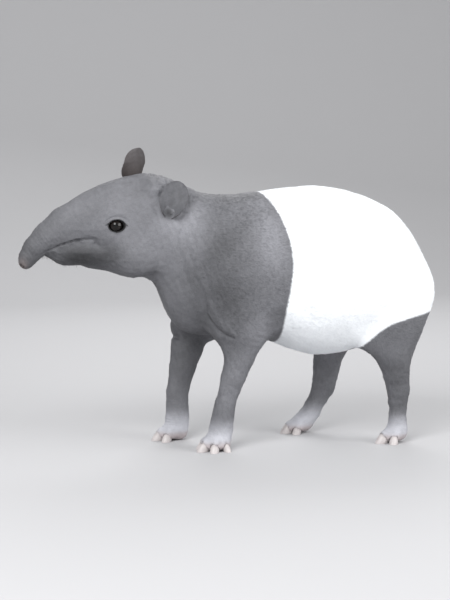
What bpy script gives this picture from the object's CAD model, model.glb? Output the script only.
"""A life-size Malayan tapir standing in a pale studio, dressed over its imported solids."""

import logging
import math
from dataclasses import dataclass
from enum import Enum

import bmesh
import bpy
import numpy as np
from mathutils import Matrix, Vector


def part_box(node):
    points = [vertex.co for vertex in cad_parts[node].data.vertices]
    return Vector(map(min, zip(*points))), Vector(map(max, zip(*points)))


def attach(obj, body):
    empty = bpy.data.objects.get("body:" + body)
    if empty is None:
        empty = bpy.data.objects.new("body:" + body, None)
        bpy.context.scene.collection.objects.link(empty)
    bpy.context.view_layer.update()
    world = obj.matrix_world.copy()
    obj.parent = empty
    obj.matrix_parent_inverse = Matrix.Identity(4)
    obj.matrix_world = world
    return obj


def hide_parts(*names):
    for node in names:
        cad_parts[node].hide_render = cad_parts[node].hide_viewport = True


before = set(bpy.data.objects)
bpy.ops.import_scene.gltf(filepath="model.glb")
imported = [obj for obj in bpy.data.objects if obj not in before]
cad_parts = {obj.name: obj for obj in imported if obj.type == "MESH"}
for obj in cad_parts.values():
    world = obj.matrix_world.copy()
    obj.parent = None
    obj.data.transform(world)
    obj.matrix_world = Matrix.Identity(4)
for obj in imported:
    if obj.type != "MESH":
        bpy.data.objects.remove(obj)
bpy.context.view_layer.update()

NODES: list[str] = sorted(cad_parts)

logging.basicConfig(level=logging.INFO, format="%(message)s")
log = logging.getLogger("tapir")

Array = np.ndarray
Place = tuple[float, float, float]
Colour = tuple[float, float, float, float]
Socket = bpy.types.NodeSocket

FLESH = [name for name in NODES if not name.startswith(("eye", "hoof", "ear"))]
EYE_AT = np.array([-0.492, -0.080, 0.914])
EYE_HALF_LENGTH = 0.0305
EYE_HALF_HEIGHT = 0.0225
# Only places this far out from the middle of the head count as round an eye
EYE_OUT_Y = 0.055
# The x and z of the nostrils
NOSTRIL_AT = (-0.860, 0.752)
# The lowest that hair reaches, so that it stays clear of the floor
FLOOR_GAP = 0.0004
# The breadth of one tuft's patch in the OFBake map
PATCH = 0.003
TONE_FLOOR = 0.03
TURN = 2 * math.pi
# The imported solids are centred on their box; the places in this file are laid out round the eye
SHIFT = np.mean([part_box("eye_left")[0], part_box("eye_left")[1]], axis=0) - EYE_AT
SHIFT[2] = 0.0


class Region(Enum):
    """The pieces of the coat, each named after the part of the body that it mostly covers."""

    HEAD = "head"
    NECK = "neck"
    SHOULDERS = "shoulders"
    BARREL_LEFT = "barrel_left"
    BARREL_RIGHT = "barrel_right"
    FORE_LEFT = "foreleg_left"
    FORE_RIGHT = "foreleg_right"
    HIND_LEFT = "hindleg_left"
    HIND_RIGHT = "hindleg_right"


def smoothstep(low: float, high: float, value: Array) -> Array:
    """Rises from 0 at low to 1 at high with level ends; falls where low is above high."""
    t = np.clip((value - low) / (high - low), 0.0, 1.0)
    return t * t * (3.0 - 2.0 * t)


def ridge(value: Array, width: float) -> Array:
    """A bell of height 1 round zero, as wide as its half width."""
    return np.exp(-((value / width) ** 2))


def waves(points: Array, scale: float, seed: int) -> Array:
    """Smooth unevenness between about -1 and 1.

    It adds nine sine waves in fixed random directions, with lengths near the scale.

    Args:
        points: Places in metres, one a row.
        scale: The mean wave's length in metres.
        seed: Picks the directions and phases.

    Returns:
        One value for each place.
    """
    rng = np.random.default_rng(seed)
    total = np.zeros(len(points))
    for _ in range(9):
        direction = rng.normal(size=3)
        direction /= np.linalg.norm(direction)
        turns = TURN / (scale * rng.uniform(0.6, 1.7))
        total += np.sin(points @ direction * turns + rng.uniform(0, TURN))
    usual_peak = 3.6
    return total / usual_peak


def pleats(along: Array, spacing: float, wander: Array | float = 0.0) -> Array:
    """Even waves between -1 and 1 with the spacing, moved on by the wander."""
    return np.sin(TURN * along / spacing + wander)


def unit(vectors: Array) -> Array:
    """Vectors scaled to length 1."""
    return vectors / np.maximum(np.linalg.norm(vectors, axis=-1, keepdims=True), 1e-12)


@dataclass(frozen=True)
class Curve2D:
    """A smooth curve through a few marks, read as one coordinate against the other."""

    along: tuple[float, ...]
    value: tuple[float, ...]

    def at(self, place: Array) -> Array:
        """Reads the curve, a cubic between marks with the mean slope at each.

        Args:
            place: Where to read it.

        Returns:
            The value at each place, level beyond the first and last marks.
        """
        a = np.array(self.along)
        v = np.array(self.value)
        slope = np.gradient(v, a)
        i = np.clip(np.searchsorted(a, place) - 1, 0, len(a) - 2)
        span = a[i + 1] - a[i]
        t = np.clip((place - a[i]) / span, 0.0, 1.0)
        return (
            (2 * t**3 - 3 * t**2 + 1) * v[i]
            + (t**3 - 2 * t**2 + t) * slope[i] * span
            + (3 * t**2 - 2 * t**3) * v[i + 1]
            + (t**3 - t**2) * slope[i + 1] * span
        )

    def slope(self, place: Array) -> Array:
        """How steeply the value changes at each place."""
        step = 0.004
        return (self.at(place + step) - self.at(place - step)) / (2 * step)


@dataclass(frozen=True)
class Spot:
    """A soft lighter or darker patch of hide, by its middle and reach in the side view.

    Its side is 1 or -1 where it shows only at positive or negative y.
    """

    x: float
    z: float
    reach_x: float
    reach_z: float
    tone: float
    side: int = 0


@dataclass(frozen=True)
class Markings:
    """The white saddle's outline and the grey hide's lighter and darker patches."""

    front: Curve2D = Curve2D(
        (0.30, 0.44, 0.57, 0.665, 0.764, 0.870, 0.985, 1.08, 1.20),
        (0.168, 0.168, 0.168, 0.180, 0.190, 0.178, 0.140, 0.088, 0.060),
    )
    rear_left: Curve2D = Curve2D(
        (0.430, 0.484, 0.529, 0.598, 0.680, 0.797, 0.960),
        (0.300, 0.384, 0.436, 0.492, 0.522, 0.542, 0.560),
    )
    rear_right: Curve2D = Curve2D(
        (0.330, 0.372, 0.440, 0.540, 0.650, 0.797, 0.960),
        (0.300, 0.372, 0.432, 0.486, 0.520, 0.542, 0.560),
    )
    spots: tuple[Spot, ...] = (
        Spot(-0.48, 1.04, 0.16, 0.08, 0.02),
        Spot(-0.42, 0.85, 0.10, 0.10, 0.035),
        Spot(-0.62, 0.785, 0.13, 0.050, -0.24),
        Spot(-0.84, 0.80, 0.07, 0.09, -0.11),
        Spot(-0.72, 0.90, 0.10, 0.06, -0.03),
        Spot(-0.30, 0.90, 0.08, 0.13, 0.08),
        Spot(-0.09, 0.60, 0.12, 0.18, -0.10),
        Spot(-0.20, 0.93, 0.07, 0.09, 0.13),
        Spot(-0.07, 0.83, 0.07, 0.10, -0.07),
        Spot(0.10, 0.86, 0.07, 0.16, 0.12),
        Spot(0.06, 0.50, 0.07, 0.09, 0.07),
        Spot(-0.02, 0.28, 0.10, 0.16, 0.04),
        Spot(-0.17, 0.33, 0.10, 0.12, -0.08, 1),
        Spot(0.66, 0.46, 0.12, 0.09, -0.02),
        Spot(0.68, 0.25, 0.10, 0.14, -0.06, -1),
        Spot(0.45, 0.30, 0.10, 0.14, 0.07, 1),
    )

    base: float = 0.475
    pale_feet: float = 0.32

    def saddle(self, points: Array) -> Array:
        """Measures how deep places lie in the white saddle.

        Args:
            points: Places in metres, one a row.

        Returns:
            The distance to the saddle's edge in metres, negative outside it.
        """
        x, y, z = points.T
        front = (x - self.front.at(z)) / np.sqrt(1 + self.front.slope(z) ** 2)
        rear = []
        for curve in (self.rear_left, self.rear_right):
            rear.append((z - curve.at(x)) / np.sqrt(1 + curve.slope(x) ** 2))
        share = smoothstep(-0.03, 0.03, y)
        behind = rear[0] * (1 - share) + rear[1] * share
        return np.minimum(front, behind)

    def tone(self, points: Array) -> Array:
        """Adds up the grey hide's patches, its pale feet and a slight unevenness.

        Args:
            points: Places in metres, one a row.

        Returns:
            The tone at each, from 0 black to 1 white as the eye sees it.
        """
        x, y, z = points.T
        tone = np.full(len(points), self.base)
        for spot in self.spots:
            near = ridge(x - spot.x, spot.reach_x) * ridge(z - spot.z, spot.reach_z)
            if spot.side:
                near = near * smoothstep(-0.02, 0.04, spot.side * y)
            tone += spot.tone * near
        tone += self.pale_feet * smoothstep(0.155, 0.06, z)
        return tone + 0.018 * waves(points, 0.10, 3) + 0.010 * waves(points, 0.025, 4)


def add_object(name: str, data: bpy.types.ID) -> bpy.types.Object:
    """Makes an object at the origin and links it to the scene.

    Args:
        name: Its name.
        data: Its mesh, light or camera.

    Returns:
        The object.
    """
    made = bpy.data.objects.new(name, data)
    bpy.context.scene.collection.objects.link(made)
    return made


def merge_points(mesh: bpy.types.Mesh, triangles: bool = False) -> None:
    """Welds a mesh's coincident points, such as those at its poles.

    Args:
        mesh: The mesh, changed in place.
        triangles: Whether to split its faces into triangles too.
    """
    work = bmesh.new()
    work.from_mesh(mesh)
    bmesh.ops.remove_doubles(work, verts=work.verts, dist=1e-6)
    if triangles:
        bmesh.ops.triangulate(work, faces=work.faces)
    work.to_mesh(mesh)
    work.free()


def arrays_of(mesh: bpy.types.Mesh, corners: int) -> tuple[Array, Array]:
    """Reads a mesh into arrays.

    Args:
        mesh: A mesh whose faces all have one number of corners.
        corners: That number.

    Returns:
        The points, and each face's point numbers.
    """
    points = np.empty(len(mesh.vertices) * 3, np.float32)
    mesh.vertices.foreach_get("co", points)
    faces = np.empty(len(mesh.loops), np.int32)
    mesh.loops.foreach_get("vertex_index", faces)
    return points.reshape(-1, 3).astype(float), faces.reshape(-1, corners)


@dataclass
class Mesh:
    """Points and faces of one piece, with named values on its points and bake patches on its corners."""

    points: Array
    faces: Array
    values: dict[str, Array]
    patches: Array | None = None

    def build(self, name: str, material: bpy.types.Material) -> bpy.types.Object:
        """Puts the arrays into a new smooth-shaded object at the origin.

        Args:
            name: The piece's name.
            material: Its only material.

        Returns:
            The object, linked to the scene.
        """
        mesh = bpy.data.meshes.new(name)
        count, corners = self.faces.shape
        mesh.vertices.add(len(self.points))
        mesh.vertices.foreach_set("co", (self.points + SHIFT).astype(np.float32).ravel())
        mesh.loops.add(count * corners)
        mesh.loops.foreach_set("vertex_index", self.faces.astype(np.int32).ravel())
        mesh.polygons.add(count)
        starts = np.arange(0, count * corners, corners, dtype=np.int32)
        mesh.polygons.foreach_set("loop_start", starts)
        mesh.update(calc_edges=True)
        mesh.polygons.foreach_set("use_smooth", np.ones(count, bool))
        for key, value in self.values.items():
            layer = mesh.attributes.new(key, "FLOAT", "POINT")
            layer.data.foreach_set("value", value.astype(np.float32))
        if self.patches is not None:
            layer = mesh.uv_layers.new(name="OFBake")
            layer.data.foreach_set("uv", self.patches.astype(np.float32).ravel())
        mesh.materials.append(material)
        mesh.validate()
        return add_object(name, mesh)


def grid_faces(rows: int, columns: int, around: bool = False) -> Array:
    """Quads between the points of a grid stored row by row.

    Args:
        rows: Rows of points.
        columns: Points in a row.
        around: Whether each row closes on itself.

    Returns:
        Four point numbers a row.
    """
    across = columns if around else columns - 1
    r, c = np.meshgrid(np.arange(rows - 1), np.arange(across), indexing="ij")
    n = (c + 1) % columns
    here, above = r * columns, (r + 1) * columns
    return np.stack([here + c, here + n, above + n, above + c], -1).reshape(-1, 4)


def split_quads(quads: Array) -> Array:
    """Each quad as two triangles."""
    return np.concatenate([quads[:, [0, 1, 2]], quads[:, [0, 2, 3]]])


def signed_volume(points: Array, triangles: Array) -> float:
    """The volume inside a closed net, positive where its faces point out."""
    a, b, c = (points[triangles[:, k]] for k in range(3))
    return float(np.sum(a * np.cross(b, c)) / 6)


def point_normals(points: Array, faces: Array) -> Array:
    """Works out the normal at each point of a net.

    Args:
        points: The net's points.
        faces: Its triangles or quads.

    Returns:
        The mean of the normals of each point's faces, by area.
    """
    a, b, c = (points[faces[:, k]] for k in (0, 1, 2))
    last = points[faces[:, -1]]
    face = np.cross(c - a, last - b) if faces.shape[1] == 4 else np.cross(b - a, c - a)
    total = np.zeros_like(points)
    for axis in range(3):
        for k in range(faces.shape[1]):
            total[:, axis] += np.bincount(faces[:, k], face[:, axis], len(points))
    return unit(total)


class Shader:
    """Small helpers to lay out a material's nodes."""

    def __init__(self, tree: bpy.types.NodeTree) -> None:
        """Keeps the tree that the nodes go into."""
        self.tree = tree

    def node(self, kind: str, **settings: object) -> bpy.types.Node:
        """Adds a node.

        Args:
            kind: Its type.
            **settings: Its properties by name.

        Returns:
            The node.
        """
        made = self.tree.nodes.new(kind)
        for key, value in settings.items():
            setattr(made, key, value)
        return made

    def link(self, source: Socket, target: Socket) -> None:
        """Joins an output to an input."""
        self.tree.links.new(source, target)

    def math(self, operation: str, *inputs: object, clamp: bool = False) -> Socket:
        """Adds a math node.

        Args:
            operation: What it does.
            *inputs: Sockets or numbers.
            clamp: Whether the result stays between 0 and 1.

        Returns:
            Its output.
        """
        made = self.node("ShaderNodeMath", operation=operation, use_clamp=clamp)
        for i, value in enumerate(inputs):
            if isinstance(value, Socket):
                self.link(value, made.inputs[i])
            else:
                made.inputs[i].default_value = value
        return made.outputs[0]

    def mix(self, factor: object, a: object, b: object) -> Socket:
        """Adds a colour mix.

        Args:
            factor: The second colour's share, a socket or a number.
            a: The first colour or its socket.
            b: The second colour or its socket.

        Returns:
            Its output.
        """
        made = self.node("ShaderNodeMix", data_type="RGBA")
        for name, value in (("Factor_Float", factor), ("A_Color", a), ("B_Color", b)):
            socket = next(s for s in made.inputs if s.identifier == name)
            if isinstance(value, Socket):
                self.link(value, socket)
            else:
                socket.default_value = value
        return next(s for s in made.outputs if s.identifier == "Result_Color")

    def noise(self, vector: Socket, scale: float, detail: float) -> Socket:
        """Adds a noise.

        Args:
            vector: Where it is read.
            scale: Its patches a metre.
            detail: How many finer layers it has.

        Returns:
            Its value.
        """
        made = self.node("ShaderNodeTexNoise")
        made.inputs["Scale"].default_value = scale
        made.inputs["Detail"].default_value = detail
        self.link(vector, made.inputs["Vector"])
        return made.outputs["Fac"]

    def bump(self, height: Socket, strength: float, distance: float) -> Socket:
        """Adds a bump.

        Args:
            height: The relief.
            strength: Its share, 0 to 1.
            distance: The relief's full height in metres.

        Returns:
            The bumped normal.
        """
        made = self.node("ShaderNodeBump")
        made.inputs["Strength"].default_value = strength
        made.inputs["Distance"].default_value = distance
        self.link(height, made.inputs["Height"])
        return made.outputs["Normal"]

    def place(self) -> Socket:
        """The place on the object, in metres."""
        return self.node("ShaderNodeTexCoord").outputs["Object"]

    def attribute(self, name: str) -> Socket:
        """A named value of the mesh."""
        return self.node("ShaderNodeAttribute", attribute_name=name).outputs["Fac"]


def colour_of(*screen: int) -> Colour:
    """A colour given as it looks on screen, 0 to 255 a channel, as linear values."""
    linear = [c / 255 / 12.92 if c <= 10 else ((c / 255 + 0.055) / 1.055) ** 2.4 for c in screen]
    return (linear[0], linear[1], linear[2], 1.0)


def new_material(name: str) -> tuple[bpy.types.Material, Shader, bpy.types.Node]:
    """Makes a new material.

    Args:
        name: Its name.

    Returns:
        The material, the helper for its nodes and its main shader.
    """
    material = bpy.data.materials.new(name)
    material.use_nodes = True
    return material, Shader(material.node_tree), material.node_tree.nodes["Principled BSDF"]


def new_group(name: str, inputs: dict[str, float], outputs: dict[str, str]) -> bpy.types.NodeTree:
    """Makes an empty shader group with float inputs and typed outputs.

    Args:
        name: The group's name.
        inputs: Each input's name and standing value.
        outputs: Each output's name and socket type.

    Returns:
        The group with its input and output nodes in place.
    """
    group = bpy.data.node_groups.new(name, "ShaderNodeTree")
    for key, value in inputs.items():
        socket = group.interface.new_socket(key, in_out="INPUT", socket_type="NodeSocketFloat")
        socket.default_value = value
    for key, kind in outputs.items():
        group.interface.new_socket(key, in_out="OUTPUT", socket_type=kind)
    group.nodes.new("NodeGroupInput")
    group.nodes.new("NodeGroupOutput")
    return group


def saddle_group() -> bpy.types.NodeTree:
    """Makes the group that turns the distance into the saddle to its mask, with a ragged edge.

    Returns:
        The group.
    """
    group = new_group(
        "saddle_edge",
        {"Distance": 0.0, "Softness": 0.004, "Ragged": 0.006},
        {"Mask": "NodeSocketFloat"},
    )
    s = Shader(group)
    start = group.nodes["Group Input"]
    fine = s.noise(s.place(), 110.0, 2.0)
    moved = s.math("MULTIPLY", s.math("SUBTRACT", fine, 0.5), start.outputs["Ragged"])
    inside = s.math("ADD", start.outputs["Distance"], moved)
    share = s.math("DIVIDE", inside, start.outputs["Softness"])
    mask = s.math("ADD", s.math("MULTIPLY", share, 0.5), 0.5, clamp=True)
    s.link(mask, group.nodes["Group Output"].inputs["Mask"])
    return group


def hide_group() -> bpy.types.NodeTree:
    """Makes the group for the relief of hide under short hair: pores, soft cells and lines of hair.

    Returns:
        The group, which puts out the height and the grain of the hair.
    """
    group = new_group(
        "hide_relief",
        {"Pores": 1.0, "Cells": 1.0},
        {"Height": "NodeSocketFloat", "Grain": "NodeSocketFloat"},
    )
    s = Shader(group)
    start = group.nodes["Group Input"]
    place = s.place()
    lie = s.node("ShaderNodeMapping")
    lie.inputs["Scale"].default_value = (0.28, 1.0, 0.55)
    lie.inputs["Rotation"].default_value = (0.0, 0.45, 0.0)
    s.link(place, lie.inputs["Vector"])
    hair = s.noise(lie.outputs["Vector"], 520.0, 2.0)
    pores = s.noise(place, 900.0, 2.0)
    cell = s.node("ShaderNodeTexVoronoi", feature="DISTANCE_TO_EDGE")
    cell.inputs["Scale"].default_value = 150.0
    s.link(place, cell.inputs["Vector"])
    creased = s.math("MULTIPLY", s.math("MINIMUM", cell.outputs["Distance"], 0.12), 4.0)
    height = s.math(
        "ADD",
        s.math("MULTIPLY", s.math("ADD", hair, s.math("MULTIPLY", pores, 0.5)), start.outputs["Pores"]),
        s.math("MULTIPLY", creased, start.outputs["Cells"]),
    )
    end = group.nodes["Group Output"]
    s.link(height, end.inputs["Height"])
    s.link(hair, end.inputs["Grain"])
    return group


@dataclass(frozen=True)
class Hide:
    """Grey hide with its white saddle; skin and coat differ only in relief and roughness."""

    name: str
    pores: float
    cells: float
    depth: float
    roughness: float
    brightness: float = 0.72
    sheen: float = 0.02
    sheen_roughness: float = 0.45
    specular: float = 0.35
    relief: float = 0.55
    unevenness: float = 0.10
    gamma: float = 2.2
    white: Colour = colour_of(239, 242, 245)
    white_shade: Colour = colour_of(214, 216, 220)
    bare: Colour = colour_of(176, 158, 154)
    grey_hue: tuple[float, float, float] = (0.965, 0.975, 1.06)

    def make(self, groups: dict[str, bpy.types.NodeTree]) -> bpy.types.Material:
        """Makes the material, which reads the tone, saddle and bare values of the mesh.

        Args:
            groups: The shared shader groups by name.

        Returns:
            The material.
        """
        material, s, shader = new_material(self.name)
        relief = s.node("ShaderNodeGroup", node_tree=groups["hide_relief"])
        relief.inputs["Pores"].default_value = self.pores
        relief.inputs["Cells"].default_value = self.cells
        edge = s.node("ShaderNodeGroup", node_tree=groups["saddle_edge"])
        s.link(s.attribute("saddle"), edge.inputs["Distance"])
        grain = relief.outputs["Grain"]
        uneven = s.math("MULTIPLY", s.math("SUBTRACT", grain, 0.5), self.unevenness)
        tone = s.math("MAXIMUM", s.math("ADD", s.attribute("tone"), uneven), 0.02)
        light = s.math("MULTIPLY", s.math("POWER", tone, self.gamma), self.brightness)
        grey = s.node("ShaderNodeCombineColor")
        for channel, share in zip(("Red", "Green", "Blue"), self.grey_hue):
            s.link(s.math("MULTIPLY", light, share), grey.inputs[channel])
        warm = s.mix(s.attribute("bare"), grey.outputs["Color"], self.bare)
        white = s.mix(s.math("MULTIPLY", grain, 0.22), self.white, self.white_shade)
        colour = s.mix(edge.outputs["Mask"], warm, white)
        s.link(colour, shader.inputs["Base Color"])
        rough = s.math("ADD", s.math("MULTIPLY", grain, 0.12), self.roughness - 0.06)
        s.link(rough, shader.inputs["Roughness"])
        shader.inputs["Specular IOR Level"].default_value = self.specular
        shader.inputs["Sheen Weight"].default_value = self.sheen
        shader.inputs["Sheen Roughness"].default_value = self.sheen_roughness
        s.link(s.bump(relief.outputs["Height"], self.relief, self.depth), shader.inputs["Normal"])
        return material


@dataclass(frozen=True)
class Horn:
    """Pale hoof horn with growth rings that darken towards the coronet."""

    name: str = "hoof_horn"
    pale: Colour = colour_of(204, 198, 197)
    dark: Colour = colour_of(138, 132, 133)
    rings: float = 260.0
    ring_depth: float = 0.0012
    relief: float = 0.4

    def make(self) -> bpy.types.Material:
        """Makes the material, with rings along Z.

        Returns:
            The material.
        """
        material, s, shader = new_material(self.name)
        place = s.place()
        flat = s.node("ShaderNodeMapping")
        flat.inputs["Scale"].default_value = (0.12, 0.12, 1.0)
        s.link(place, flat.inputs["Vector"])
        rings = s.noise(flat.outputs["Vector"], self.rings, 3.0)
        patches = s.noise(place, 45.0, 4.0)
        high = s.node("ShaderNodeSeparateXYZ")
        s.link(place, high.inputs["Vector"])
        rise = s.math("MULTIPLY", high.outputs["Z"], 14.0, clamp=True)
        share = s.math("MULTIPLY", s.math("ADD", s.math("MULTIPLY", rise, 0.7), patches), 0.55, clamp=True)
        s.link(s.mix(share, self.pale, self.dark), shader.inputs["Base Color"])
        s.link(s.math("ADD", s.math("MULTIPLY", patches, 0.25), 0.32), shader.inputs["Roughness"])
        s.link(s.bump(rings, self.relief, self.ring_depth), shader.inputs["Normal"])
        return material


@dataclass(frozen=True)
class WetEye:
    """A near-black eye: a dark iris round a black pupil, under a wet cornea."""

    name: str = "wet_eye"
    iris: Colour = colour_of(20, 12, 9)
    pupil: Colour = (0.002, 0.002, 0.002, 1.0)
    rim: Colour = colour_of(12, 9, 8)
    pupil_edge: float = 0.30
    iris_edge: float = 0.62
    roughness: float = 0.07
    specular: float = 0.32

    def make(self) -> bpy.types.Material:
        """Makes the material, which reads the angle from the eye's axis.

        Returns:
            The material.
        """
        material, s, shader = new_material(self.name)
        angle = s.attribute("off_axis")
        place = s.place()
        threads = s.noise(place, 420.0, 3.0)
        iris = s.mix(threads, self.rim, self.iris)
        inner = s.math("MULTIPLY", s.math("SUBTRACT", angle, self.pupil_edge), 18.0, clamp=True)
        outer = s.math("MULTIPLY", s.math("SUBTRACT", angle, self.iris_edge), 14.0, clamp=True)
        colour = s.mix(outer, s.mix(inner, self.pupil, iris), self.rim)
        s.link(colour, shader.inputs["Base Color"])
        shader.inputs["Roughness"].default_value = self.roughness
        shader.inputs["Specular IOR Level"].default_value = self.specular
        return material


@dataclass(frozen=True)
class Hair:
    """The dark, slightly glossy hair of lashes, whiskers and fringes."""

    name: str = "bristle_hair"
    dark: Colour = colour_of(30, 28, 30)
    light: Colour = colour_of(74, 72, 76)
    roughness: float = 0.42

    def make(self) -> bpy.types.Material:
        """Makes the material, a little uneven from hair to hair.

        Returns:
            The material.
        """
        material, s, shader = new_material(self.name)
        place = s.place()
        s.link(s.mix(s.noise(place, 160.0, 2.0), self.dark, self.light), shader.inputs["Base Color"])
        shader.inputs["Roughness"].default_value = self.roughness
        return material


@dataclass(frozen=True)
class Paint:
    """The plain pale studio floor."""

    name: str = "studio_floor"
    colour: Colour = colour_of(180, 180, 182)
    shade: Colour = colour_of(174, 174, 176)
    roughness: float = 0.85

    def make(self) -> bpy.types.Material:
        """Makes the matte material, with a barely uneven tone.

        Returns:
            The material.
        """
        material, s, shader = new_material(self.name)
        place = s.place()
        share = s.math("MULTIPLY", s.noise(place, 3.0, 2.0), 0.12)
        s.link(s.mix(share, self.colour, self.shade), shader.inputs["Base Color"])
        shader.inputs["Roughness"].default_value = self.roughness
        return material


def net_edges(quads: Array) -> Array:
    """Finds the edges of a net of quads.

    Args:
        quads: Four point numbers a row.

    Returns:
        Each edge once, as its two point numbers.
    """
    edges = np.concatenate([quads[:, [k, (k + 1) % 4]] for k in range(4)])
    return np.unique(np.sort(edges, axis=1), axis=0)


def to_neighbours(points: Array, edges: Array) -> Array:
    """Works out the way from each point of a net to the mean of its neighbours.

    Args:
        points: The net's points.
        edges: Its edges.

    Returns:
        One step for each point.
    """
    a, b = edges.T
    total = np.zeros_like(points)
    for axis in range(3):
        total[:, axis] = np.bincount(a, points[b, axis], len(points))
        total[:, axis] += np.bincount(b, points[a, axis], len(points))
    degree = np.bincount(edges.T.ravel(), minlength=len(points))[:, None]
    return total / degree - points


@dataclass
class Skin:
    """One skin over all the flesh: the solids melted together, smoothed and given folds.

    The inset leaves room for the coat, the swell closes the gaps between the solids, and the
    head is magnified by its scale while the net is made, so that it gets finer faces. The
    armpit is the crease above the near foreleg, as its height along X. A joint is the x, the z
    and the side of a knee or hock, and the mouth runs forward and down from its back corner.
    """

    inset: float = 0.0034
    swell: float = 0.0020
    voxel: float = 0.0082
    head_scale: float = 2.8
    middle_z: float = 0.80
    rounds: int = 34
    last_rounds: int = 3
    ease_rounds: int = 46
    elbow_z: float = 0.424
    groin_z: float = 0.45
    pastern_z: float = 0.104
    armpit: Curve2D = Curve2D((-0.165, -0.145, -0.115, -0.075, -0.030), (0.600, 0.552, 0.508, 0.476, 0.460))
    joints: tuple[tuple[float, float, int], ...] = (
        (-0.062, 0.165, -1),
        (-0.203, 0.165, 1),
        (0.684, 0.20, -1),
        (0.44, 0.19, 1),
    )
    mouth_corner: tuple[float, float] = (-0.588, 0.859)
    mouth_length: float = 0.180
    mouth_depth: float = 0.0050
    eye_depth: float = 0.022
    nostril_push: Place = (0.0062, 0.0, 0.0054)
    lowest: float = 0.0006
    markings: Markings = Markings()

    def scale_at(self, x: Array) -> Array:
        """How much the skin is magnified before it is remeshed: more towards the head."""
        return 1.0 + (self.head_scale - 1.0) * smoothstep(0.10, -0.34, x)

    def warp(self, points: Array, back: bool = False) -> Array:
        """Stretches space about the body's axis so that the head gets finer faces.

        X goes to the running sum of the scale along X; Y and Z grow by the scale at X.

        Args:
            points: Places in metres.
            back: Whether to undo the stretch.

        Returns:
            The moved places.
        """
        reach = 1.2
        x = np.linspace(-reach, reach, 4801)
        grown = np.cumsum(self.scale_at(x)) * (x[1] - x[0])
        middle = np.array([0.0, 0.0, self.middle_z])
        out = points - middle
        if back:
            out[:, 0] = np.interp(points[:, 0], grown, x)
            out[:, 1:] /= self.scale_at(out[:, 0])[:, None]
        else:
            out[:, 0] = np.interp(points[:, 0], x, grown)
            out[:, 1:] *= self.scale_at(points[:, 0])[:, None]
        return out + middle

    def shell(self) -> tuple[Array, Array]:
        """Gathers the flesh solids, swollen to close the thin gaps.

        Returns:
            All their points, and their triangles.
        """
        points = []
        faces = []
        start = 0
        for name in FLESH:
            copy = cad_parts[name].data.copy()
            merge_points(copy, triangles=True)
            own, triangles = arrays_of(copy, 3)
            own = own - SHIFT
            points.append(own + self.swell * point_normals(own, triangles))
            faces.append(triangles + start)
            start += len(own)
            bpy.data.meshes.remove(copy)
        return np.concatenate(points), np.concatenate(faces)

    def remeshed(self) -> tuple[Array, Array]:
        """Turns the shell into one even net of quads and keeps its largest piece.

        Returns:
            The net's points and quads.
        """
        points, faces = self.shell()
        mesh = bpy.data.meshes.new("skin_work")
        mesh.from_pydata(self.warp(points).tolist(), [], faces.tolist())
        work = add_object("skin_work", mesh)
        remesh = work.modifiers.new("net", "REMESH")
        remesh.mode = "VOXEL"
        remesh.voxel_size = self.voxel
        remesh.adaptivity = 0.0
        graph = bpy.context.evaluated_depsgraph_get()
        made = bpy.data.meshes.new_from_object(work.evaluated_get(graph))
        points, quads = largest_piece(*arrays_of(made, 4))
        bpy.data.objects.remove(work)
        bpy.data.meshes.remove(mesh)
        bpy.data.meshes.remove(made)
        return self.warp(points, back=True), quads

    def smoothed(self, points: Array, edges: Array) -> Array:
        """Evens the net without shrinking it, most on the broad trunk and least on the face.

        Each round moves a point over half way to the mean of its neighbours and then a little
        further back, by the share that its place allows.

        Args:
            points: The net's points.
            edges: Its edges.

        Returns:
            The moved points.
        """
        trunk = smoothstep(-0.34, -0.16, points[:, 0]) * smoothstep(0.36, 0.50, points[:, 2])
        share = (0.16 + 0.84 * trunk)[:, None]
        for done in range(self.rounds):
            if done == self.rounds - self.last_rounds:
                share = np.maximum(share, 0.5)
            for step in (0.60, -0.615):
                points = points + step * share * to_neighbours(points, edges)
        return points

    def eased(self, points: Array, edges: Array) -> Array:
        """Rubs down the steps where a leg's finer solid meets the coarser body and foot.

        Args:
            points: The net's points.
            edges: Its edges.

        Returns:
            The moved points.
        """
        x, z = points[:, 0], points[:, 2]
        elbow = ridge(z - self.elbow_z, 0.034) * smoothstep(0.20, 0.16, x)
        groin = ridge(z - self.groin_z, 0.05) * smoothstep(0.30, 0.36, x)
        pastern = ridge(z - self.pastern_z, 0.014)
        share = np.clip(1.3 * np.maximum(elbow, 0.8 * groin) + 0.35 * pastern, 0, 0.6)[:, None]
        for _ in range(self.ease_rounds):
            points = points + share * to_neighbours(points, edges)
        return points

    def folds(self, points: Array, normals: Array) -> Array:
        """Works out the folds of the skin.

        Args:
            points: The skin's points.
            normals: Its normals.

        Returns:
            How far each point is raised, in metres, negative where it is sunk.
        """
        x, y, z = points.T
        height = np.zeros(len(points))
        side = smoothstep(0.1, 0.7, np.abs(normals[:, 1]))
        # Rings across the drooping nose
        nose = smoothstep(-0.66, -0.76, x)
        along = np.hypot(x + 0.60, z - 0.99)
        rings = pleats(along, 0.0135, 0.8 * waves(points, 0.05, 11))
        height += 0.0005 * nose * rings * smoothstep(-0.4, 0.3, -normals[:, 0] + normals[:, 2] + 0.4)
        # Long soft folds where the neck meets the shoulder and down the throat
        neck = ridge(x + 0.20 + 0.25 * (z - 0.8), 0.085) * smoothstep(0.52, 0.66, z)
        height += 0.0010 * neck * pleats(x + 0.30 * (z - 0.8), 0.034, waves(points, 0.12, 12))
        # Small folds behind the elbow
        elbow = ridge(z - 0.45, 0.05) * ridge(x - 0.075, 0.06) * side
        height += 0.0013 * elbow * pleats(z + 0.35 * x, 0.026)
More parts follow.
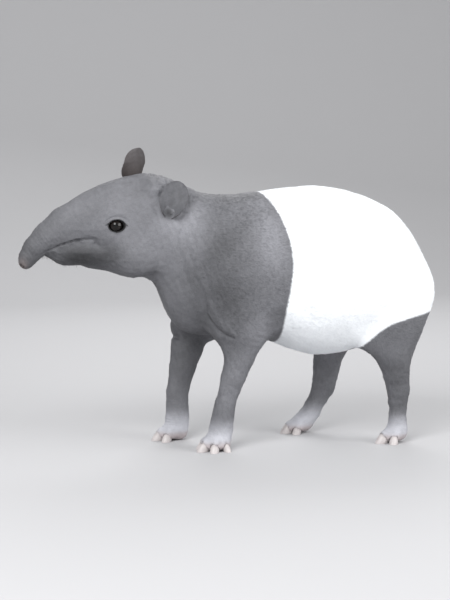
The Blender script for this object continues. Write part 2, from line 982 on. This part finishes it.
        # The shoulder's front edge, where it overlaps the chest above the near foreleg
        below = (self.armpit.at(x) - z) / np.sqrt(1 + self.armpit.slope(x) ** 2)
        run = smoothstep(-0.160, -0.140, x) * smoothstep(-0.035, -0.060, x) * (y < 0)
        height -= 0.0065 * run * ridge(below, 0.0065)
        height += 0.0035 * run * ridge(below + 0.022, 0.016)
        # Cross folds at the front of each knee and hock, and over the fetlocks
        wander = waves(points, 0.03, 13)
        for joint_x, joint_z, way in self.joints:
            near = ridge(x - joint_x, 0.06) * ridge(z - joint_z, 0.045) * (way * y > 0)
            height += 0.0007 * near * pleats(z, 0.011, 0.6 * wander)
        fetlock = ridge(z - 0.085, 0.022)
        height += 0.0010 * fetlock * pleats(z, 0.010, 0.7 * waves(points, 0.03, 14))
        # The flank's fold before the thigh
        flank = ridge(x - 0.50 - 0.25 * (z - 0.45), 0.016) * ridge(z - 0.44, 0.07) * side
        height -= 0.004 * flank
        # The mouth's line
        run = (self.mouth_corner[0] - x) / self.mouth_length
        line = self.mouth_corner[1] - 0.006 * run - 0.046 * np.clip(run, 0, 1.1) ** 2
        mouth = ridge(z - line, 0.0042) * smoothstep(-0.08, 0.06, run) * smoothstep(1.12, 0.98, run)
        facing = smoothstep(0.2, 0.6, np.abs(normals[:, 1]) + np.maximum(-normals[:, 0], 0))
        height -= self.mouth_depth * mouth * facing
        # Slight unevenness of muscle and fat
        height += 0.0012 * waves(points, 0.14, 15) + 0.0004 * waves(points, 0.03, 16)
        return height

    def socket(self, points: Array) -> Array:
        """Works out how the skin sinks to the eyes inside their lids, which stand up round them.

        Args:
            points: The skin's points.

        Returns:
            How far each point moves towards the middle of the head, in metres.
        """
        away = eye_opening(points)
        upper = smoothstep(0.0, 0.4, (points[:, 2] - EYE_AT[2]) / EYE_HALF_HEIGHT)
        sunk = self.eye_depth * smoothstep(1.05, 0.86, away)
        sunk -= (0.0012 + 0.0012 * upper) * ridge(away - 1.20, 0.14)
        return sunk + (0.0022 * upper * ridge(away - 1.62, 0.10) + 0.0016 * lid_line(points) * (away > 1.1))

    def build(self, material: bpy.types.Material) -> tuple[Array, Array, Array]:
        """Makes the skin.

        Args:
            material: Its hide.

        Returns:
            Its points, quads and normals, for the hair that grows on it.
        """
        points, faces = self.remeshed()
        edges = net_edges(faces)
        points = self.eased(self.smoothed(points, edges), edges)
        normals = point_normals(points, faces)
        points = points + normals * (self.folds(points, normals) - self.inset)[:, None]
        points[:, 1] -= np.sign(points[:, 1]) * self.socket(points)
        points += nostril(points)[:, None] * np.array(self.nostril_push)
        points[:, 2] = np.maximum(points[:, 2], self.lowest)
        made = Mesh(points, faces, hide_values(points, self.markings)).build("skin", material)
        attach(made, "root")
        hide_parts(*FLESH)
        log.info("skin: %d quads", len(faces))
        return points, faces, point_normals(points, faces)


def eye_opening(points: Array) -> Array:
    """Measures how far places are from the middle of an eye, in half openings.

    Args:
        points: Places in metres, one a row.

    Returns:
        0 in the middle, 1 at the lids' edges, and a large value on the rest of the head.
    """
    x, y, z = points.T
    away = np.hypot((x - EYE_AT[0]) / EYE_HALF_LENGTH, (z - EYE_AT[2]) / EYE_HALF_HEIGHT)
    far = 9.0
    return np.where(np.abs(y) > EYE_OUT_Y, away, far)


def nostril(points: Array) -> Array:
    """Finds the nostrils, which stand side by side on the nose's blunt end.

    Args:
        points: Places in metres, one a row.

    Returns:
        A bell of height 1 in each nostril, 0 elsewhere.
    """
    x, y, z = points.T
    along, rise = x - NOSTRIL_AT[0], z - NOSTRIL_AT[1]
    near = (np.hypot(along, rise) < 0.035) * (along < 0.015)
    return near * ridge(np.abs(y) - 0.0155, 0.0072) * ridge(0.78 * rise - 0.62 * along, 0.0115)


def lid_line(points: Array) -> Array:
    """Finds the crease along the upper lid's edge and on past both corners of the eye.

    Args:
        points: Places in metres, one a row.

    Returns:
        A bell of height 1 across the crease.
    """
    x, y, z = points.T
    marks = (-0.044, -0.027, -0.014, 0.0, 0.014, 0.027, 0.046)
    rises = (0.002, 0.012, 0.020, 0.0225, 0.019, 0.010, -0.003)
    along = x - EYE_AT[0]
    within = smoothstep(0.047, 0.040, np.abs(along)) * (np.abs(y) > EYE_OUT_Y)
    return within * ridge(z - EYE_AT[2] - np.interp(along, marks, rises), 0.0026)


def lid_margin(points: Array) -> Array:
    """How dark the skin is along the lids' edges and the lash line, 0 to 1."""
    return np.maximum(smoothstep(1.24, 1.08, eye_opening(points)), 0.8 * lid_line(points))


def hide_values(points: Array, markings: Markings) -> dict[str, Array]:
    """Works out the markings that skin and coat share.

    Args:
        points: Places in metres, one a row.
        markings: The saddle and the patches.

    Returns:
        The distance into the saddle, the hide's tone and the share of bare skin at each place.
    """
    x, y, z = points.T
    inside = nostril(points)
    tone = markings.tone(points) - 0.45 * inside - 0.40 * lid_margin(points)
    # The shade at the near ear's root
    hollow = ridge(x + 0.287, 0.020) * ridge(z - 0.962, 0.024) * ridge(np.abs(y) - 0.115, 0.03)
    tone = tone - 0.30 * hollow * (y < 0)
    # Bare skin round the hooves and between the nostrils
    bare = 0.55 * smoothstep(0.050, 0.020, z)
    bare = bare + 0.30 * ridge(x + 0.86, 0.02) * ridge(z - 0.75, 0.03) * (1 - inside)
    # The tail's end is grey
    tail = smoothstep(0.845, 0.851, x) * (np.abs(y) < 0.03) * smoothstep(0.705, 0.685, z) * (z > 0.60)
    return {
        "saddle": markings.saddle(points) - 0.4 * tail,
        "tone": np.clip(tone, TONE_FLOOR, 1.0),
        "bare": np.clip(bare, 0, 1),
    }


def largest_piece(points: Array, faces: Array) -> tuple[Array, Array]:
    """Keeps the largest joined set of faces, found by passing the lowest label along them.

    Args:
        points: A net's points.
        faces: Its faces.

    Returns:
        The points and faces of that set.
    """
    label = np.arange(len(points))
    while True:
        low = label[faces].min(axis=1)
        fresh = label.copy()
        for k in range(faces.shape[1]):
            np.minimum.at(fresh, faces[:, k], low)
        fresh = fresh[fresh]
        if np.array_equal(fresh, label):
            break
        label = fresh
    kept = np.bincount(label).argmax()
    keep = label == kept
    number = np.cumsum(keep) - 1
    return points[keep], number[faces[keep[faces[:, 0]]]]


@dataclass(frozen=True)
class Lock:
    """The spacing, length and width of a region's tufts in metres, and their lift as a slope."""

    spacing: float
    length: float
    width: float
    lift: float


BODY_LOCK = Lock(0.0052, 0.0105, 0.0019, 0.18)
LEG_LOCK = Lock(0.0046, 0.0085, 0.0017, 0.18)
LOCKS = {
    Region.HEAD: Lock(0.0042, 0.0062, 0.0013, 0.16),
    Region.NECK: Lock(0.0050, 0.0105, 0.0019, 0.18),
}
# Each leg's side, and the x of its middle at the three heights
LEG_HEIGHTS = (0.0, 0.15, 0.45)
LEG_MIDDLES: dict[Region, tuple[int, Place]] = {
    Region.FORE_LEFT: (-1, (-0.10, -0.06, 0.02)),
    Region.FORE_RIGHT: (1, (-0.22, -0.20, -0.14)),
    Region.HIND_LEFT: (-1, (0.66, 0.68, 0.66)),
    Region.HIND_RIGHT: (1, (0.34, 0.42, 0.50)),
}


@dataclass
class Coat:
    """Short tufts over the skin, each one a thin leaf of two triangles.

    The trunk's middle is the height of its axis along X, which its patches are rolled round.
    """

    points: Array
    faces: Array
    normals: Array
    markings: Markings = Markings()
    leg_top: float = 0.43
    leg_y: float = 0.14
    trunk_x: tuple[float, ...] = (-0.85, -0.6, -0.3, 0.0, 0.8)
    trunk_z: tuple[float, ...] = (0.79, 0.88, 0.88, 0.73, 0.68)
    first_seed: int = 40

    def is_in(self, region: Region, places: Array) -> Array:
        """Tells which places belong to a region.

        Args:
            region: The region.
            places: Places on the skin.

        Returns:
            Each one's region is this one: true or false.
        """
        x, y, z = places.T
        far = y >= 0
        low = z < self.leg_top
        grey_leg = low & (self.markings.saddle(places) < 0)
        # Where two overlap, the later one has the place. The head's area slants back under the
        # neck, so it also takes in most of the far foreleg and the front of the near forefoot.
        areas = {
            Region.BARREL_LEFT: ~far,
            Region.BARREL_RIGHT: far,
            Region.SHOULDERS: x < 0.15,
            Region.FORE_LEFT: (x < 0.30) & low & ~far,
            Region.FORE_RIGHT: (x < 0.25) & low & far,
            Region.HIND_LEFT: (x > 0.30) & grey_leg & ~far,
            Region.HIND_RIGHT: (x > 0.25) & grey_leg & far,
            Region.NECK: (x + 0.42 * (z - 0.8) < -0.13) & (z > 0.48),
            Region.HEAD: x + 0.30 * (z - 0.85) < -0.30,
        }
        mine = np.zeros(len(places), bool)
        for name, area in areas.items():
            mine[area] = name is region
        return mine

    def roots(self, lock: Lock, region: Region, seed: int) -> tuple[Array, Array]:
        """Strews roots evenly over one region's skin.

        Args:
            lock: The tufts' spacing.
            region: The region.
            seed: Fixes the random places.

        Returns:
            The roots and the normals there.
        """
        faces = self.faces[self.is_in(region, self.points[self.faces].mean(axis=1))]
        p = self.points[faces]
        area = 0.5 * np.linalg.norm(np.cross(p[:, 2] - p[:, 0], p[:, 3] - p[:, 1]), axis=1)
        rng = np.random.default_rng(seed)
        count = rng.poisson(area / lock.spacing**2)
        index = np.repeat(np.arange(len(faces)), count)
        u, v = rng.random((2, len(index)))
        weight = np.stack([(1 - u) * (1 - v), u * (1 - v), u * v, (1 - u) * v], 1)
        place = np.einsum("nk,nkd->nd", weight, p[index])
        normal = unit(np.einsum("nk,nkd->nd", weight, self.normals[faces[index]]))
        return place, normal

    def lie(self, places: Array, normals: Array) -> Array:
        """Works out how the hair lies: back along the body, down the sides and down the legs.

        Args:
            places: The roots.
            normals: The skin's normals there.

        Returns:
            The way along the skin at each root.
        """
        x, y, z = places.T
        leg = smoothstep(0.50, 0.36, z)
        face = smoothstep(-0.45, -0.65, x)
        way = np.stack([1.0 - 0.85 * leg, 0.10 * np.sign(y), -0.38 - 0.62 * leg + 0.45 * face], 1)
        way += 0.16 * np.stack([waves(places, 0.06, 21 + k) for k in range(3)], 1)
        way -= normals * np.sum(way * normals, axis=1, keepdims=True)
        return unit(way)

    def tufts(self, lock: Lock, region: Region, seed: int) -> Mesh:
        """Makes one region's tufts as arrays.

        A tuft is a kite: its root sits just under the skin, its middle two points stand
        apart by its width and its tip rises by the lift.

        Args:
            lock: The tufts' spacing and size.
            region: The region.
            seed: Fixes the random places and sizes.

        Returns:
            The tufts' mesh, with a small bake patch for each tuft.
        """
        place, normal = self.roots(lock, region, seed)
        rng = np.random.default_rng(seed + 100)
        count = len(place)
        way = self.lie(place, normal)
        aside = unit(np.cross(normal, way) + rng.normal(0, 0.12, (count, 3)))
        x, z = place[:, 0], place[:, 2]
        # Shorter on the feet and face, and from the neck towards the head
        short = (1 - 0.5 * smoothstep(0.17, 0.05, z)) * (1 - 0.4 * smoothstep(-0.5, -0.7, x))
        if region is Region.NECK:
            short = short * (0.55 + 0.45 * smoothstep(-0.32, -0.12, x + 0.30 * (z - 0.85)))
        size = rng.uniform(0.75, 1.25, (count, 1)) * short[:, None]
        length = lock.length * size
        width = lock.width * rng.uniform(0.8, 1.2, (count, 1)) / 2
        lift = lock.lift * rng.uniform(0.4, 1.3, (count, 1))
        root = place - 0.0006 * normal
        mid = place + way * length * 0.45 + normal * length * lift * 0.65
        tip = place + way * length + normal * length * lift
        points = np.stack([root, mid + aside * width, tip, mid - aside * width], 1)
        points[..., 2] = np.maximum(points[..., 2], FLOOR_GAP)
        base = np.arange(count)[:, None] * 4
        faces = np.concatenate([base + [0, 1, 3], base + [1, 2, 3]])
        roots = hide_values(place, self.markings)
        roots["tone"] = np.clip(roots["tone"] + rng.normal(0, 0.022, count), TONE_FLOOR, 1)
        roots["saddle"] = roots["saddle"] + rng.normal(0, 0.0015, count)
        values = {key: np.repeat(value, 4) for key, value in roots.items()}
        # The saddle's edge crosses a tuft where it lies, more than it follows the root
        own = self.markings.saddle(points.reshape(-1, 3))
        values["saddle"] = 0.7 * own + 0.3 * values["saddle"]
        corner = np.array([[0.5, 0.0], [1.0, 0.5], [0.5, 1.0], [0.0, 0.5]]) * PATCH
        patch = (self.unwrap(place, region)[:, None] + corner).reshape(-1, 2)
        return Mesh(points.reshape(-1, 3), faces, values, patch[faces].reshape(-1, 2))

    def unwrap(self, places: Array, region: Region) -> Array:
        """Rolls one region out flat round its own axis.

        Args:
            places: The roots.
            region: The region.

        Returns:
            The turn about the axis and the way along it, both within 0 and 1.
        """
        x, y, z = places.T
        if region in LEG_MIDDLES:
            side, middles = LEG_MIDDLES[region]
            turn = np.arctan2(x - np.interp(z, LEG_HEIGHTS, middles), y - side * self.leg_y)
            along = z
        else:
            turn = np.arctan2(y, z - np.interp(x, self.trunk_x, self.trunk_z))
            along = x
        share = (along - along.min()) / (along.max() - along.min())
        return 0.01 + 0.97 * np.stack([turn / TURN + 0.5, share], 1)

    def build(self, material: bpy.types.Material) -> None:
        """Makes each region's coat.

        Args:
            material: The coat's hide.
        """
        for number, region in enumerate(Region):
            name = f"coat_{region.value}"
            lock = LOCKS.get(region, LEG_LOCK if region in LEG_MIDDLES else BODY_LOCK)
            piece = self.tufts(lock, region, self.first_seed + number).build(name, material)
            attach(piece, "root")
            log.info("%s: %d triangles", name, len(piece.data.polygons))


@dataclass
class Ear:
    """A cupped leaf of an ear with a rolled rim, rooted in the head.

    It grows from its root along the way up and is open to the opening's side. The roll and the
    top curl are half the turn of its section at the root and near the top, the droop bends its
    top back and the flare opens its root.
    """

    node: str
    root: Place
    up: Place
    opening: Place
    roll: float
    tone: float = 0.42
    top_curl: float = 0.65
    droop: float = 0.018
    flare: float = 0.010
    length: float = 0.143
    half_width: float = 0.0555
    thickness: float = 0.0062
    rows: int = 44
    columns: int = 36

    def width_at(self, t: Array) -> Array:
        """Gives the ear's breadth: a broad oval on a narrower root.

        Args:
            t: Shares of its length, from the root.

        Returns:
            Half the breadth at each.
        """
        crown = np.sqrt(np.maximum(1 - np.clip(2 * t - 1, 0, 1) ** 2.6, 0.012))
        stem = 0.40 + 0.60 * np.sin(math.pi * np.clip(t, -0.08, 0.5))
        return self.half_width * np.where(t > 0.5, crown, stem)

    def sheet(self, depth: Array, t: Array, s: Array) -> Array:
        """Places points of the leaf.

        Across, the leaf is an arc whose turn falls from the roll at the root to a shallow
        cup at the top; the arc's radius keeps the leaf's breadth.

        Args:
            depth: How far the points lie from the leaf's back, in metres.
            t: How far up they lie, 0 at the root and 1 at the tip.
            s: How far across they lie, -1 at one rim and 1 at the other.

        Returns:
            The points.
        """
        axis = unit(np.array(self.up))
        front = np.array(self.opening)
        front = unit(front - axis * (front @ axis))
        across = np.cross(axis, front)
        curl = self.roll + (self.top_curl - self.roll) * np.clip(t * 1.7, 0, 1)
        radius = self.width_at(t) / np.sin(np.minimum(curl, math.pi / 2))
        turn = s * curl
        sideways = (radius - depth) * np.sin(turn)
        outward = radius * (1 - np.cos(turn)) - self.droop * t * t + depth * np.cos(turn)
        outward = outward - self.flare * (1 - depth / self.thickness) * np.exp(-np.maximum(t, 0) / 0.10)
        upward = t * self.length
        return (
            np.array(self.root)
            + upward[..., None] * axis
            + sideways[..., None] * across
            + outward[..., None] * front
        )

    def rim(self, count: int, rng: np.random.Generator) -> tuple[Array, Array]:
        """Picks random places on the rim.

        Args:
            count: How many.
            rng: Where the random draws come from.

        Returns:
            The places, and the way out of the leaf at each.
        """
        t = rng.uniform(0.25, 0.995, count)
        s = np.where(rng.random(count) < 0.5, -1.0, 1.0)
        half = np.full(count, self.thickness / 3)
        edge = self.sheet(half, t, s)
        outward = unit(edge - self.sheet(half, t - 0.12 * t**3, 0.86 * s))
        return edge - 0.002 * outward, outward

    def build(self, material: bpy.types.Material, markings: Markings) -> None:
        """Makes the ear, each row a closed loop: front face, rim, back face and rim.

        Args:
            material: Its hide.
            markings: The body's markings, for values that the ear shares.
        """
        rise = np.linspace(-0.16, 1.0, self.rows)
        t = np.where(rise > 0, np.sin(math.pi / 2 * np.clip(rise, 0, 1)), rise)
        turn = np.linspace(0, TURN, 2 * self.columns, endpoint=False)
        s = np.sign(np.cos(turn)) * np.abs(np.cos(turn)) ** 0.8
        half = self.thickness / 2 * (1 - 0.45 * np.clip(t, 0, 1))[:, None]
        depth = half - half * np.sin(turn)[None, :] * np.ones((len(t), 1))
        tt = np.repeat(t[:, None], len(turn), axis=1)
        ss = np.repeat(s[None, :], len(t), axis=0)
        points = self.sheet(depth, tt, ss).reshape(-1, 3)
        ends = [points[-len(turn):].mean(axis=0), points[: len(turn)].mean(axis=0)]
        top, base = len(points), len(points) + 1
        points = np.concatenate([points, ends])
        ring = np.arange(len(turn))
        after = (ring + 1) % len(turn)
        last = (self.rows - 1) * len(turn)
        triangles = np.concatenate(
            [
                split_quads(grid_faces(self.rows, len(turn), around=True)),
                np.stack([last + ring, last + after, np.full_like(ring, top)], 1),
                np.stack([after, ring, np.full_like(ring, base)], 1),
            ]
        )
        points = points + 0.0006 * waves(points, 0.012, 31)[:, None] * point_normals(points, triangles)
        values = hide_values(points, markings)
        values["saddle"] = np.full(len(points), -1.0)
        inner = np.append(np.tile(np.sin(turn) > 0.0, len(t)).astype(float), [0.0, 0.0])
        low = np.append(np.repeat(1 - np.clip(t, 0, 1), len(turn)), [0.0, 1.0])
        # The cup darkens towards its root
        values["tone"] = self.tone - (0.03 + 0.30 * low**2) * inner + 0.02 * waves(points, 0.02, 32)
        values["bare"] = 0.08 * inner
        made = Mesh(points, triangles, values).build(f"{self.node}_leaf", material)
        if signed_volume(points, triangles) < 0:
            made.data.flip_normals()
        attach(made, "root")
        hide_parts(self.node)


@dataclass(frozen=True)
class Whiskers:
    """Some hairs on the skin within a rounded box, given by its middle and half sizes.

    They point from the skin along its normal and the way added to it.
    """

    centre: Place
    reach: Place
    count: int
    way: Place
    length: float


UPPER_LIP = Whiskers((-0.745, 0.0, 0.800), (0.035, 0.05, 0.03), 150, (-0.3, 0.0, -0.8), 0.011)
NOSE_TIP = Whiskers((-0.852, 0.0, 0.760), (0.03, 0.05, 0.03), 110, (-0.5, 0.0, -0.8), 0.007)
CHIN = Whiskers((-0.66, 0.0, 0.765), (0.09, 0.07, 0.025), 90, (0.2, 0.0, -0.6), 0.010)
TAIL_TIP = Whiskers((0.846, 0.0, 0.652), (0.03, 0.03, 0.022), 170, (0.1, 0.0, -1.6), 0.020)


@dataclass
class Bristles:
    """The longer hairs: lashes, whiskers, the ears' fringes and the tail's tip."""

    points: Array
    normals: Array
    ears: list[Ear]
    rows: int = 5
    sides: int = 3
    upper_lashes: int = 46
    lower_lashes: int = 20
    fringe_hairs: int = 260
    seed: int = 71

    def lashes(self, side: int, rng: np.random.Generator) -> tuple[Array, Array, Array]:
        """Sets one eye's lashes, longest in the middle of each lid.

        Args:
            side: 1 or -1, the sign of the eye's y.
            rng: Where the random draws come from.

        Returns:
            Roots, ways and lengths.
        """
        t = np.append(np.linspace(-0.9, 0.95, self.upper_lashes), np.linspace(-0.7, 0.8, self.lower_lashes))
        upper = np.arange(len(t)) < self.upper_lashes
        t = t + rng.normal(0, 0.012, len(t))
        along = 0.033 * t
        up = np.where(upper, 0.0215, -0.0185) * (1 - t * t) - 0.003 * t
        lid_radius = 0.0340
        deep = np.sqrt(np.maximum(lid_radius**2 - along**2 - up**2, 0.0))
        eye = np.array([EYE_AT[0], side * -EYE_AT[1], EYE_AT[2]])
        roots = eye + np.stack([along, side * deep, up], 1)
        rise = np.where(upper, 0.25, -0.5)
        ways = np.stack([0.7 * t, np.full(len(t), side * 1.0), rise], 1)
        ways = unit(ways + rng.normal(0, 0.08, ways.shape))
        return roots, ways, np.where(upper, 0.013, 0.007) * (1 - 0.4 * t * t)

    def whiskers(self, kind: Whiskers, rng: np.random.Generator) -> tuple[Array, Array, Array]:
        """Sets one kind of whiskers at points of the skin.

        Args:
            kind: Where they grow, and how.
            rng: Where the random draws come from.

        Returns:
            Roots, ways and lengths.
        """
        away = np.sum(((self.points - kind.centre) / np.array(kind.reach)) ** 2, axis=1)
        inside = np.flatnonzero(away < 1)
        chosen = rng.choice(inside, min(kind.count, len(inside)), replace=False)
        normals = self.normals[chosen]
        ways = unit(normals + np.array(kind.way) + rng.normal(0, 0.2, normals.shape))
        lengths = kind.length * rng.uniform(0.6, 1.3, len(chosen))
        return self.points[chosen] - 0.001 * normals, ways, lengths

    def fringe(self, ear: Ear, rng: np.random.Generator) -> tuple[Array, Array, Array]:
        """Sets the short hairs round an ear's rim.

        Args:
            ear: The ear.
            rng: Where the random draws come from.

        Returns:
            Roots, ways and lengths.
        """
        roots, ways = ear.rim(self.fringe_hairs, rng)
        ways = unit(ways + rng.normal(0, 0.25, ways.shape))
        return roots, ways, rng.uniform(0.004, 0.008, len(roots))

    def build(self, material: bpy.types.Material) -> None:
        """Makes every hair as a thin spike that bends down a little.

        Args:
            material: The hair's finish.
        """
        rng = np.random.default_rng(self.seed)
        sets = [self.lashes(side, rng) for side in (-1, 1)]
        sets += [self.whiskers(kind, rng) for kind in (UPPER_LIP, NOSE_TIP, CHIN, TAIL_TIP)]
        sets += [self.fringe(ear, rng) for ear in self.ears]
        roots, ways, lengths = (np.concatenate(part) for part in zip(*sets))
        aside = unit(np.cross(ways, rng.normal(size=ways.shape)))
        other = np.cross(ways, aside)
        t = np.linspace(0, 1, self.rows)[None, :, None]
        spine = roots[:, None] + ways[:, None] * lengths[:, None, None] * t
        spine = spine + np.array([0.0, 0.0, -0.22]) * lengths[:, None, None] * t * t
        thick = np.clip(lengths * 0.022, 0.00012, 0.00028)[:, None, None] * (1 - 0.93 * t)
        turn = np.arange(self.sides) * TURN / self.sides
        ring = (
            aside[:, None, None] * np.cos(turn)[None, None, :, None]
            + other[:, None, None] * np.sin(turn)[None, None, :, None]
        )
        points = (spine[:, :, None] + ring * thick[..., None]).reshape(-1, 3)
        points[:, 2] = np.maximum(points[:, 2], FLOOR_GAP)
        each = grid_faces(self.rows, self.sides, around=True)
        base = np.arange(len(roots))[:, None, None] * (self.rows * self.sides)
        faces = (base + each).reshape(-1, 4)
        local = np.meshgrid(np.arange(self.sides) / self.sides, np.linspace(0, 1, self.rows))
        corners = np.stack(local, -1).reshape(-1, 2) * PATCH
        flat = [0.5 + 0.48 * np.sin(roots[:, 2] * 3 + roots[:, 1]), (roots[:, 0] + 0.95) / 1.9]
        patches = (np.stack(flat, 1)[:, None] + corners).reshape(-1, 2)
        made = Mesh(points, faces, {}, patches[faces].reshape(-1, 2)).build("coat_bristles", material)
        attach(made, "root")


@dataclass
class Eye:
    """A wet eyeball with a bulging cornea, set in its socket."""

    node: str
    side: int
    bulge: float = 0.0016
    shrink: float = 0.0010
    ahead: float = -0.22
    rise: float = 0.06
    rows: int = 48
    columns: int = 64

    def build(self, material: bpy.types.Material) -> None:
        """Makes the ball as rings about its own axis, which points out and a little forward.

        Args:
            material: The eye's finish.
        """
        low, high = (np.array(corner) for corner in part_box(self.node))
        centre = (low + high) / 2 - SHIFT
        radius = (high[0] - low[0]) / 2 - self.shrink
        axis = unit(np.array([self.ahead, self.side, self.rise]))
        helper = unit(np.cross(axis, [0.0, 0.0, 1.0]))
        other = np.cross(axis, helper)
        angle = np.linspace(0.0, math.pi, self.rows)[:, None]
        turn = np.linspace(0, TURN, self.columns, endpoint=False)[None, :]
        r = radius + self.bulge * ridge(angle, 0.45)
        ring = r * np.sin(angle)
        points = (
            centre
            + (r * np.cos(angle) * np.ones_like(turn))[..., None] * axis
            + (ring * np.cos(turn))[..., None] * helper
            + (ring * np.sin(turn))[..., None] * other
        ).reshape(-1, 3)
        off_axis = (angle * np.ones_like(turn)).ravel()
        faces = grid_faces(self.rows, self.columns, around=True)
        if signed_volume(points, split_quads(faces)) < 0:
            faces = faces[:, ::-1]
        made = Mesh(points, faces, {"off_axis": off_axis}).build(f"{self.node}_ball", material)
        merge_points(made.data)
        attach(made, "root")
        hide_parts(self.node)


@dataclass
class Hooves:
    """The hooves, rounded from their solids on sharp-edged flat soles."""

    sole_height: float = 0.0005
    levels: int = 2

    def build(self, material: bpy.types.Material) -> None:
        """Copies each hoof's solid, welds it, rounds it and keeps its flat sole.

        Args:
            material: Their horn.
        """
        for name in (node for node in NODES if node.startswith("hoof")):
            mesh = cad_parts[name].data.copy()
            piece = add_object(f"{name}_horn", mesh)
            mesh.materials.clear()
            mesh.materials.append(material)
            merge_points(mesh)
            points = np.empty(len(mesh.vertices) * 3, np.float32)
            mesh.vertices.foreach_get("co", points)
            edges = np.empty(len(mesh.edges) * 2, np.int32)
            mesh.edges.foreach_get("vertices", edges)
            heights = points.reshape(-1, 3)[edges.reshape(-1, 2), 2]
            sole = (heights < self.sole_height).all(axis=1)
            crease = mesh.attributes.new("crease_edge", "FLOAT", "EDGE")
            crease.data.foreach_set("value", sole.astype(np.float32))
            mesh.polygons.foreach_set("use_smooth", np.ones(len(mesh.polygons), bool))
            rounded = piece.modifiers.new("round", "SUBSURF")
            rounded.levels = self.levels
            rounded.render_levels = self.levels
            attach(piece, "root")
            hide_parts(name)


@dataclass(frozen=True)
class Lamp:
    """A square soft light: its name, place, breadth in metres and power in watts."""

    name: str
    place: Place
    size: float
    power: float


@dataclass
class Studio:
    """The pale floor, soft lights and camera, with lengths in metres and angles in degrees."""

    azimuth: float = -14.0
    elevation: float = 6.5
    distance: float = 6.8
    target: Place = (-0.026, 0.0, 0.595)
    lens: float = 99.5
    sensor: float = 36.0
    lamps: tuple[Lamp, ...] = (
        Lamp("key", (-3.2, -4.2, 4.6), 3.6, 410.0),
        Lamp("fill", (4.6, -3.4, 2.6), 4.0, 240.0),
        Lamp("back", (1.0, 4.2, 4.4), 3.6, 170.0),
    )
    lamps_aim: Place = (0.0, 0.0, 0.6)
    sky: float = 0.66
    floor_front: float = -12.0
    floor_half_width: float = 16.0
    sweep_start: float = 5.0
    sweep_radius: float = 3.0
    sweep_top: float = 14.0

    def floor(self) -> None:
        """Lays a wide plane that rises behind the animal in one sweep.

        Its section is level, then a quarter circle, then upright; the sweep runs along X.
        """
        bend = np.linspace(0, math.pi / 2, 24)
        rise = self.sweep_radius * (1 - np.cos(bend))
        back = self.sweep_start + self.sweep_radius * np.sin(bend)
        y = np.concatenate([[self.floor_front], back, [self.sweep_start + self.sweep_radius]])
        z = np.concatenate([[0.0], rise, [self.sweep_top]])
        x = np.tile([-self.floor_half_width, self.floor_half_width], len(y))
        points = np.stack([x, np.repeat(y, 2), np.repeat(z, 2)], 1)
        made = Mesh(points, grid_faces(len(y), 2), {}).build("studio_floor", Paint().make())

    def light(self, lamp: Lamp) -> None:
        """Hangs a light and aims it at the animal's middle.

        Args:
            lamp: The light.
        """
        data = bpy.data.lights.new(lamp.name, "AREA")
        data.size = lamp.size
        data.energy = lamp.power
        made = add_object(lamp.name, data)
        made.location = lamp.place
        made.rotation_euler = direction_euler(np.array(self.lamps_aim) - np.array(lamp.place))

    def world(self) -> None:
        """Lights the studio evenly from all round and shows colours as they are."""
        world = bpy.data.worlds.new("studio_world")
        world.use_nodes = True
        background = world.node_tree.nodes["Background"]
        background.inputs["Color"].default_value = (1.0, 1.0, 1.0, 1.0)
        background.inputs["Strength"].default_value = self.sky
        bpy.context.scene.world = world
        bpy.context.scene.view_settings.view_transform = "Standard"

    def build(self) -> None:
        """Sets the floor, the lights, the world and the camera."""
        self.floor()
        for lamp in self.lamps:
            self.light(lamp)
        self.world()
        data = bpy.data.cameras.new("camera")
        data.lens = self.lens
        data.sensor_width = self.sensor
        data.sensor_fit = "AUTO"
        data.clip_end = 100.0
        camera = add_object("camera", data)
        a, e = math.radians(self.azimuth), math.radians(self.elevation)
        back = np.array([math.sin(a) * math.cos(e), -math.cos(a) * math.cos(e), math.sin(e)])
        camera.location = np.array(self.target) + SHIFT + back * self.distance
        camera.rotation_euler = direction_euler(-back)
        bpy.context.scene.camera = camera


def direction_euler(direction: Array) -> tuple[float, float, float]:
    """The turn that aims a light or camera along a direction, with its top up."""
    d = direction / np.linalg.norm(direction)
    return (math.acos(-d[2]), 0.0, math.atan2(d[1], d[0]) - math.pi / 2)


LEFT_EAR = Ear("ear_left", (-0.280, -0.101, 0.950), (0.24, -0.20, 0.95), (-0.30, -0.95, -0.10), 2.3)
RIGHT_EAR = Ear("ear_right", (-0.379, 0.052, 1.074), (0.0, 0.10, 0.99), (-0.45, 0.89, 0.10), 2.3, 0.32)


def main() -> None:
    """Builds and dresses the animal, then the studio."""
    groups = {"hide_relief": hide_group(), "saddle_edge": saddle_group()}
    skin_hide = Hide("skin_hide", pores=0.8, cells=0.5, depth=0.0016, roughness=0.66).make(groups)
    coat_hide = Hide("coat_hide", pores=0.5, cells=0.0, depth=0.0004, roughness=0.62).make(groups)
    points, faces, normals = Skin().build(skin_hide)
    Coat(points, faces, normals).build(coat_hide)
    ears = [LEFT_EAR, RIGHT_EAR]
    for ear in ears:
        ear.build(skin_hide, Markings())
    Bristles(points, normals, ears).build(Hair().make())
    wet = WetEye().make()
    for node, side in (("eye_left", -1), ("eye_right", 1)):
        Eye(node, side).build(wet)
    Hooves().build(Horn().make())
    log.info("ears, eyes and hooves are on")
    Studio().build()


if __name__ == "__main__":
    main()
